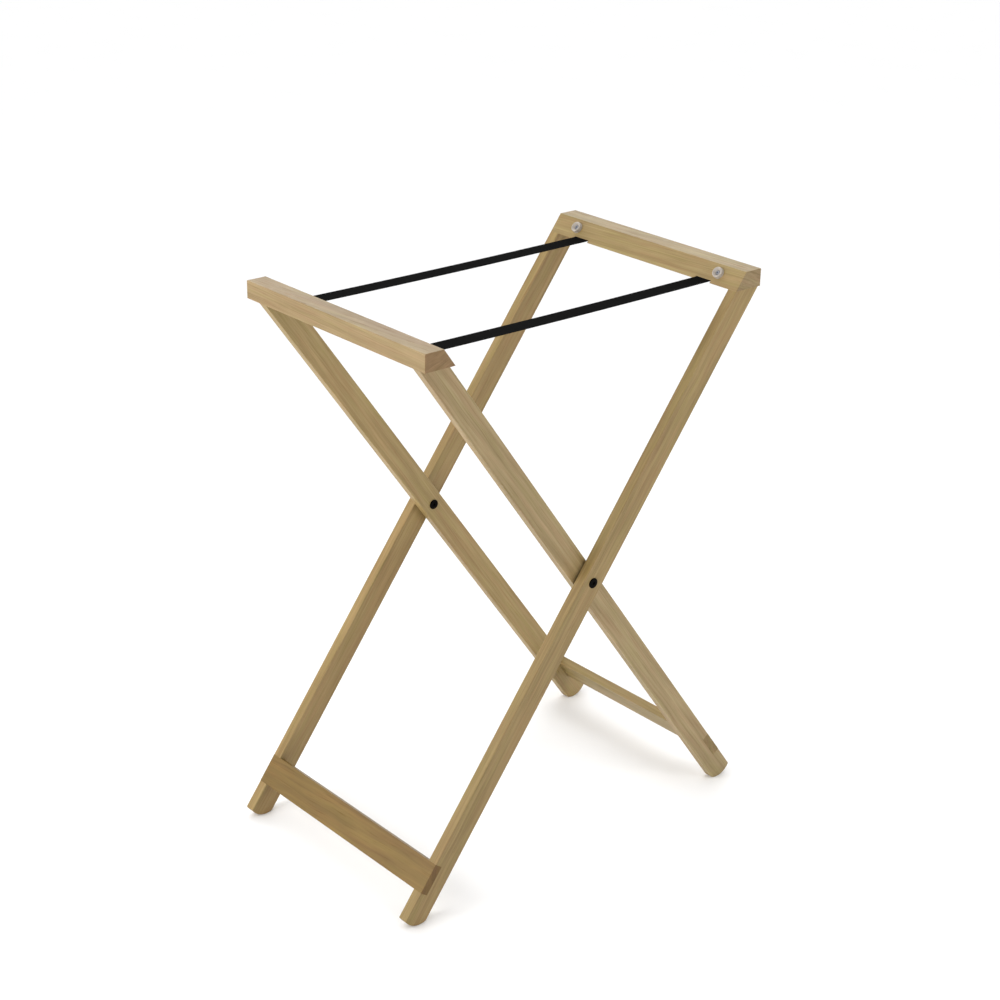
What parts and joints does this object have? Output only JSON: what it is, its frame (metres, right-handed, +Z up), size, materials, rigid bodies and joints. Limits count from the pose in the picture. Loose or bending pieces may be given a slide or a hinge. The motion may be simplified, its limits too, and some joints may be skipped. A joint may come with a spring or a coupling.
{
  "type": "folding luggage rack",
  "caption": "Folding wooden rack: crossed leg frames hinged at mid height, with top rails held apart by taut black webbing straps and cushioned by two bumpers.",
  "frame": {"origin": "on the floor, midway between the feet and between the two ends of the rails", "axes": "+Z up; +Y along the top rails and the pivot axis, from the front end to the back end; +X towards the outer frame's rail"},
  "size_m": [0.6004, 0.3524, 0.756],
  "materials": {
    "oak": "natural oak, thin matt oil",
    "beech_dowel": "plain fluted dowel, hidden",
    "black_webbing": "flat woven polyester webbing",
    "black_steel": "black oxide, satin",
    "black_nylon": "matt moulded nylon",
    "pale_rubber": "pale grey rubber, matt",
    "zinc_screw": "zinc plate",
    "zinc_plate": "zinc plate"
  },
  "bodies": {
    "outer_frame": {"right_rail": "oak", "outer_leg_front": "oak", "outer_leg_back": "oak", "outer_stretcher": "oak", "outer_rail_dowels": "beech_dowel", "outer_stretcher_dowels": "beech_dowel", "bumper_front": "pale_rubber", "bumper_back": "pale_rubber", "bumper_screws": "zinc_screw", "right_strap_clamp_front": "zinc_plate", "right_strap_clamp_back": "zinc_plate", "right_clamp_screws": "zinc_screw", "pivot_bolt_front": "black_steel", "pivot_bolt_back": "black_steel", "pivot_sleeve_front": "black_steel", "pivot_sleeve_back": "black_steel", "pivot_washer_front": "black_nylon", "pivot_washer_back": "black_nylon", "strap_front": "black_webbing", "strap_back": "black_webbing"},
    "inner_frame": {"left_rail": "oak", "inner_leg_front": "oak", "inner_leg_back": "oak", "inner_stretcher": "oak", "inner_rail_dowels": "beech_dowel", "inner_stretcher_dowels": "beech_dowel", "left_strap_clamp_front": "zinc_plate", "left_strap_clamp_back": "zinc_plate", "left_clamp_screws": "zinc_screw"}
  },
  "joints": [
    {"name": "fold", "type": "hinge", "parent": "outer_frame", "child": "inner_frame", "pos_m": [0, 0, 0.39299], "axis": [0, 1, 0], "range_deg": [0, 67.4], "deforming": ["strap_front", "strap_back"]}
  ]
}
